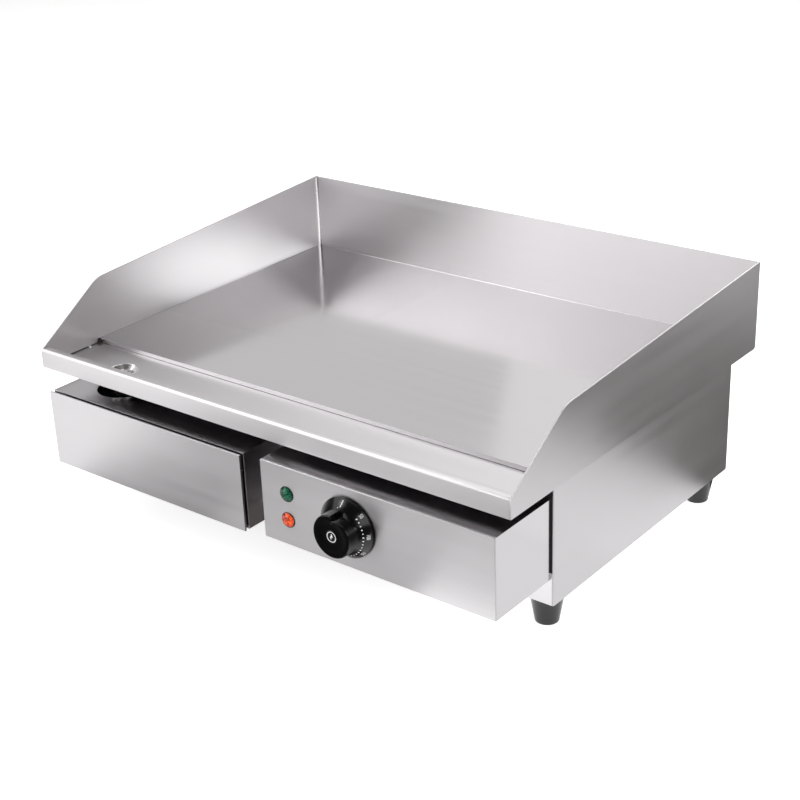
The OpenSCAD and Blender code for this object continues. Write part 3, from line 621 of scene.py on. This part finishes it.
bm = bmesh.new()
for k in range(DOTS_PER_NUMBER * (len(NUMBERS) - 1) + 1):
    size = 0.62 if k % DOTS_PER_NUMBER == 0 else 0.5
    cone_patch(bm, DIAL_START + DOT_STEP * k, DOT_R, dot(size))
cone_patch(bm, 0, 24.2, [(-0.55, -2.0), (0.55, -2.0), (0.4, 2.4), (-0.4, 2.4)])
cone_patch(bm, -5, 21.7, dot(0.45))
for k, text in enumerate(NUMBERS):
    data = text_mesh(text, 3.4)
    base = len(bm.verts)
    bm.from_mesh(data)
    bm.verts.ensure_lookup_table()
    for v in bm.verts[base:]:
        turn = DIAL_START + DOT_STEP * DOTS_PER_NUMBER * k + math.degrees(v.co.x / NUMBER_R)
        v.co = on_cone(turn, NUMBER_R + v.co.y)
    bpy.data.meshes.remove(data)
marks = mesh_object("knob_marks", bm, PRINT, 0)


def print_on_cap(bm, outline):
    """Prints an outline, given in mm from the middle of the knob's cap, on its face."""
    lift = 0.04 * MM
    points = [Vector((cap.x + u * MM, cap_low.y - lift, cap.z + v * MM)) for u, v in outline]
    bm.faces.new([bm.verts.new(p) for p in points])


# The cap's mark: a ring with a plain sign in it
RING_PARTS = 64
bm = bmesh.new()
for k in range(RING_PARTS):
    a0 = math.tau * k / RING_PARTS
    a1 = math.tau * (k + 1) / RING_PARTS
    quad = [(4.9, a0), (4.9, a1), (4.2, a1), (4.2, a0)]
    print_on_cap(bm, [(r * math.sin(a), r * math.cos(a)) for r, a in quad])
for shape in (
    [(-0.5, 2.6), (0.5, 2.6), (1.4, 0.4), (-0.2, 0.4)],
    [(-1.4, -0.3), (0.4, -0.3), (-0.5, -2.8), (-1.0, -1.5)],
    [(-1.3, 0.45), (1.5, 0.45), (1.2, -0.35), (-1.5, -0.35)],
):
    print_on_cap(bm, shape)
sign = mesh_object("knob_sign", bm, PRINT, 0)
for obj in (marks, sign):
    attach(obj, "knob")


# Lamps: faceted lenses in turned bezels. Sizes are in mm.
FACETS = 12
LENS_R = 6.9
LENS_HIGH = 2.2


def lamp(lens_name, turn):
    """A lens of rings of facets, the whole turned about its axis by an angle."""
    low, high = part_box(lens_name)
    spot = middle(lens_name)
    reach = (high.y - low.y) / MM
    bm = bmesh.new()
    place = facing(spot.x, high.y, spot.z, "-Y") @ Matrix.Rotation(turn, 4, "Z")
    rings = [(LENS_R, 0.0, 0.0), (6.75, 0.55, 0.0), (5.2, 1.3, 0.5), (3.2, 1.9, 0.0)]
    rings += [(0.0, LENS_HIGH, 0.0)]
    scale = reach / LENS_HIGH
    made = []
    for radius, height, offset in rings:
        if radius == 0:
            made.append([bm.verts.new(place @ Vector((0, 0, height * scale * MM)))])
            continue
        ring = []
        for k in range(FACETS):
            a = math.tau * (k + offset) / FACETS
            corner = Vector((radius * math.cos(a), radius * math.sin(a), height * scale)) * MM
            ring.append(bm.verts.new(place @ corner))
        made.append(ring)
    for low_ring, high_ring in zip(made, made[1:]):
        for k in range(FACETS):
            a, b = low_ring[k], low_ring[(k + 1) % FACETS]
            if len(high_ring) == 1:
                bm.faces.new((a, b, high_ring[0]))
                continue
            c, d = high_ring[(k + 1) % FACETS], high_ring[k]
            bm.faces.new((a, b, d))
            bm.faces.new((b, c, d))
    bm.faces.new(made[0][::-1])
    return add_piece(lens_name + "_faceted", bm, lens_name, math.radians(4))


lamp("green_lens", 0.1)
lamp("amber_lens", 0.35)

bm = bmesh.new()
bezel_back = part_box("lamp_bezels")[1].y
ring = [(LENS_R, 0), (7.3, 0), (7.3, 0.4), (7.2, 0.7), (7.05, 0.8), (6.95, 0.7), (LENS_R, 0.5)]
ring += [(LENS_R, 0)]
for lens_name in ("green_lens", "amber_lens"):
    spot = middle(lens_name)
    lathe(bm, ring, facing(spot.x, bezel_back, spot.z, "-Y"), 48)
bmesh.ops.remove_doubles(bm, verts=bm.verts, dist=1e-7)
add_piece("lamp_bezels_turned", bm, "lamp_bezels")

# Feet: tapered rubber with an eased base. Sizes are in mm.
FOOT_R = 15.5
FOOT_BORE = 2.5
bm = bmesh.new()
feet_low, feet_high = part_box("feet")
foot_h = feet_high.z / MM
centres = []
for sx in (-1, 1):
    for y in (feet_low.y + FOOT_R * MM, feet_high.y - FOOT_R * MM):
        centres.append((sx * (feet_high.x - FOOT_R * MM), y))
foot_profile = [(FOOT_BORE, foot_h), (FOOT_R, foot_h), (FOOT_R, foot_h - 1.6), (15.2, foot_h - 2.4)]
foot_profile += [(10.9, 2.2)] + arc(9.4, 1.5, 1.5, -5, -90, 5)
foot_profile += [(6, 0), (5.5, 0.5), (5.5, 9), (FOOT_BORE, 9), (FOOT_BORE, foot_h)]
for x, y in centres:
    lathe(bm, foot_profile, facing(x, y, 0, "+Z"), 56)
bmesh.ops.remove_doubles(bm, verts=bm.verts, dist=1e-7)
add_piece("feet_moulded", bm, "feet")


# Screw heads: the steps round a head, and its sizes in mm
HEAD_STEPS = 40
HEAD_R = 3.6
HEAD_HIGH = 1.8


def crossed_head(bm, place, radius, height):
    """A domed screw head with a cross recess, its foot at the place."""
    dome = [(radius, 0), (radius, 0.35 * height), (radius * 0.85, 0.75 * height)]
    dome += [(radius * 0.62, height), (radius * 0.6, height * 0.97)]
    lathe(bm, dome, place, HEAD_STEPS)
    rim = radius * 0.6
    arm = radius * 0.16
    outline = []
    for k in range(4):
        a = math.pi / 2 * k
        c = math.cos(a)
        s = math.sin(a)
        for u, v in ((arm, arm), (rim * 0.9, arm), (rim * 0.9, -arm)):
            outline.append((u * c + v * s, u * s - v * c))
    turns = [math.tau * k / HEAD_STEPS for k in range(HEAD_STEPS)]
    circle = [(rim * math.cos(a), rim * math.sin(a)) for a in turns]

    def vertices(points, shrink, z):
        places = [Vector((u * shrink, v * shrink, z)) * MM for u, v in points]
        return [bm.verts.new(place @ at) for at in places]

    ring = vertices(circle, 1.0, height * 0.97)
    top = vertices(outline, 1.0, height * 0.97)
    bottom = vertices(outline, 0.8, height * 0.3)
    count = len(outline)
    for k in range(count):
        bm.faces.new((top[k], top[(k + 1) % count], bottom[(k + 1) % count], bottom[k]))
    bm.faces.new(bottom)
    edges = [bm.edges.new((ring[k], ring[(k + 1) % HEAD_STEPS])) for k in range(HEAD_STEPS)]
    edges += [bm.edges.get((top[k], top[(k + 1) % count])) for k in range(count)]
    bmesh.ops.triangle_fill(bm, edges=edges, use_beauty=True)


def screw(bm, place):
    """A crossed head with its shank behind it."""
    crossed_head(bm, place, HEAD_R, HEAD_HIGH)
    lathe(bm, [(2, 0), (2, -8), (0, -8)], place, 20)


# Screws whose heads are seen: rear panel and bottom cover
bm = bmesh.new()
low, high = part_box("rear_screws")
for x in (low.x + HEAD_R * MM, high.x - HEAD_R * MM):
    for z in (low.z + HEAD_R * MM, high.z - HEAD_R * MM):
        screw(bm, facing(x, high.y - HEAD_HIGH * MM, z, "+Y"))
add_piece("rear_screws_crossed", bm, "rear_screws")

bm = bmesh.new()
low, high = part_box("base_screws")
for x in (low.x + HEAD_R * MM, high.x - HEAD_R * MM):
    for y in (low.y + HEAD_R * MM, high.y - HEAD_R * MM):
        screw(bm, facing(x, y, low.z + HEAD_HIGH * MM, "-Z"))
add_piece("base_screws_crossed", bm, "base_screws")


# ---------------------------------------------------------------- camera, floor and light

def direction(azimuth, elevation):
    """Unit vector from the griddle, angles in degrees: azimuth 0 is toward its front, 90 its right."""
    az = math.radians(azimuth)
    el = math.radians(elevation)
    return Vector((math.sin(az) * math.cos(el), -math.cos(az) * math.cos(el), math.sin(el)))


# The camera, solved from the photograph: angles in degrees, distance in metres
CAMERA_AZIMUTH = 38.96
CAMERA_ELEVATION = 24.31
CAMERA_ROLL = math.radians(-2.25)
CAMERA_DISTANCE = 1.521
CAMERA_LENS = 71.1
CAMERA_TARGET = Vector((15, 191, 104)) * MM + Vector((0, front_y, 0))


def studio_camera():
    """Sets the camera to see the whole griddle from its right front."""
    away = direction(CAMERA_AZIMUTH, CAMERA_ELEVATION)
    side = up.cross(away).normalized()
    top = away.cross(side)
    x_axis = side * math.cos(CAMERA_ROLL) + top * math.sin(CAMERA_ROLL)
    y_axis = top * math.cos(CAMERA_ROLL) - side * math.sin(CAMERA_ROLL)
    turn = Matrix((x_axis, y_axis, away)).transposed().to_4x4()
    data = bpy.data.cameras.new("studio")
    data.lens = CAMERA_LENS
    data.sensor_width = 36.0
    camera = bpy.data.objects.new("studio_camera", data)
    camera.matrix_world = Matrix.Translation(CAMERA_TARGET + away * CAMERA_DISTANCE) @ turn
    bpy.context.scene.collection.objects.link(camera)
    bpy.context.scene.camera = camera


def panel_mesh(name, corners, material):
    """Flat four-cornered panels that belong to the studio, four corners for each."""
    data = bpy.data.meshes.new(name)
    faces = [tuple(range(k, k + 4)) for k in range(0, len(corners), 4)]
    data.from_pydata([Vector(c) for c in corners], [], faces)
    data.materials.append(material)
    obj = bpy.data.objects.new(name, data)
    bpy.context.scene.collection.objects.link(obj)
    return obj


def floor_material():
    g = Graph("floor_pale")
    g.set(Base_Color=rgb(WHITE, 0.9), Roughness=0.9, Specular_IOR_Level=0.0)
    g.set(Emission_Color=rgb(WHITE), Emission_Strength=0.75)
    return g.material


def glowing(name, strength):
    """A black surface that gives off white light."""
    g = Graph(name)
    g.set(Base_Color=rgb(BLACK), Specular_IOR_Level=0.0)
    g.set(Emission_Color=rgb(WHITE), Emission_Strength=strength)
    return g


def only_reflected(card):
    """Hides a card from everything but reflections."""
    card.visible_camera = False
    card.visible_diffuse = False
    card.visible_shadow = False
    card.visible_transmission = False


def guard_strips():
    """Low lit strips just over the plate, which face the left guard and are there for it to reflect."""
    (x, y), (half_x, half_y), strength = GUARD_STRIPS
    z = plate_top + 0.3 * MM
    height = 0.6 * MM
    pitch = 0.8 * MM
    margin = 3 * MM
    g = glowing("card_guard", strength)
    inputs = {"Vector": g.coords.outputs["Object"], "Location": (-x, -y, -z)}
    moved = g.add("ShaderNodeMapping", inputs).outputs[0]
    scaled = g.stretched(moved, (1 / half_x, 1 / half_y, 1.0))
    away = g.add("ShaderNodeVectorMath", {0: scaled}, operation="LENGTH").outputs["Value"]
    cover = g.remap(away, 1.0, 0.0, 0.2, 1.0)
    front = g.remap(g.add("ShaderNodeNewGeometry").outputs["Backfacing"], 1.0, 0.0)
    g.set(Alpha=g.math("MULTIPLY", cover, front))
    near = max(y - half_y, plate_low.y)
    far = min(y + half_y, pan_low.y - margin)
    corners = []
    at = -inner_x + margin
    while at < x + half_x:
        corners += [(at, far, z), (at, near, z), (at, near, z + height), (at, far, z + height)]
        at += pitch
    only_reflected(panel_mesh("card_guard", corners, g.material))


# Half the floor's side and the height of the walls round it, in metres
FLOOR_HALF = 7.0
BACKDROP_HIGH = 9.0


def backdrop():
    """Pale walls far behind the griddle, which only the camera sees."""
    f = FLOOR_HALF
    for k in range(4):
        turn = Matrix.Rotation(math.pi / 2 * k, 4, "Z")
        corners = [(-f, f, 0), (f, f, 0), (f, f, BACKDROP_HIGH), (-f, f, BACKDROP_HIGH)]
        corners = [turn @ Vector(c) for c in corners]
        wall = panel_mesh("backdrop", corners, glowing("backdrop", 0.95).material)
        only_reflected(wall)
        wall.visible_camera = True
        wall.visible_glossy = False


def floor_and_cards():
    """The floor that the camera sees, and the lit cards on it that only the steel reflects."""
    f = FLOOR_HALF
    floor = panel_mesh("floor", [(-f, -f, 0), (f, -f, 0), (f, f, 0), (-f, f, 0)], floor_material())
    floor.visible_glossy = False
    for k, (name, (x0, x1, y0, y1, strength)) in enumerate(CARDS.items()):
        z = (k + 1) * 0.5 * MM
        corners = [(x0, y0, z), (x1, y0, z), (x1, y1, z), (x0, y1, z)]
        card = panel_mesh("card_" + name, corners, glowing("card_" + name, strength).material)
        only_reflected(card)


def softbox(name, azimuth, elevation, width, height, radiance, distance):
    """An area light on a dome round the griddle, aimed at its middle."""
    toward = direction(azimuth, elevation)
    data = bpy.data.lights.new("softbox_" + name, "AREA")
    data.shape = "RECTANGLE"
    data.size = width
    data.size_y = height
    data.energy = radiance * math.pi * width * height
    obj = bpy.data.objects.new("softbox_" + name, data)
    turn = toward.to_track_quat("Z", "Y").to_matrix().to_4x4()
    obj.matrix_world = Matrix.Translation(toward * distance + up * AIM_HIGH) @ turn
    obj.visible_camera = False
    bpy.context.scene.collection.objects.link(obj)


def world_light(color):
    """Faint even light from all round."""
    world = bpy.data.worlds.new("studio")
    bpy.context.scene.world = world
    world.use_nodes = True
    world.node_tree.nodes["Background"].inputs["Color"].default_value = rgb(color)


# Cards on the floor, in metres: x from, x to, y from, y to, radiance. Later ones lie on earlier ones.
CARDS = {
    "right_front": (0.2, 0.95, -0.3, 0.0, 1.05),
    "right": (0.2, 0.95, 0.0, 0.18, 1.1),
    "front_left": (-0.7, -0.28, -0.6, -0.15, 1.15),
    "front_middle": (-0.28, -0.1, -0.6, -0.2, 0.3),
    "front_right": (-0.1, 0.24, -0.75, -0.22, 0.58),
    "front_corner": (0.15, 0.26, -0.28, -0.16, 1.9),
    "guard_rear": (0.5, 0.9, 0.66, 1.0, 0.8),
    "left": (-0.95, -0.28, -0.15, 0.6, 1.0),
    "back": (-0.6, 0.2, 0.25, 0.9, 0.8),
}
# The strips on the plate: middle, half lengths, radiance
GUARD_STRIPS = ((-0.2, 0.12), (0.13, 0.14), 1.9)
# Height of the point that the soft lights aim at, in metres
AIM_HIGH = 0.12
# Soft lights, in degrees and metres: azimuth, elevation, width, height, radiance, distance
SOFTBOXES = {
    "right": (67, 26, 1.8, 1.3, 2.6, 2.2),
    "back_low": (120, 6, 1.8, 1.3, 1.1, 2.2),
    "back_1": (169, 26, 1.8, 1.3, 1.3, 2.2),
    "back_2": (176, 26, 1.8, 1.3, 1.3, 2.2),
    "back_3": (187, 26, 1.8, 1.3, 0.25, 2.2),
    "back_left": (212, 26, 1.8, 1.3, 0.7, 2.2),
    "back_high": (225, 50, 0.8, 0.6, 2.5, 2.2),
    "left": (285, 44, 2.0, 1.6, 1.5, 2.2),
    "upper_left": (302, 48, 0.6, 0.45, 5.0, 2.1),
    "front_left": (326, 12, 1.8, 1.7, 1.95, 2.2),
    "overhead": (180, 86, 1.8, 1.8, 0.9, 2.2),
}
studio_camera()
floor_and_cards()
guard_strips()
backdrop()
world_light((0.11, 0.1, 0.098))
for name, light in SOFTBOXES.items():
    softbox(name, *light)
bpy.context.scene.view_settings.view_transform = "Standard"
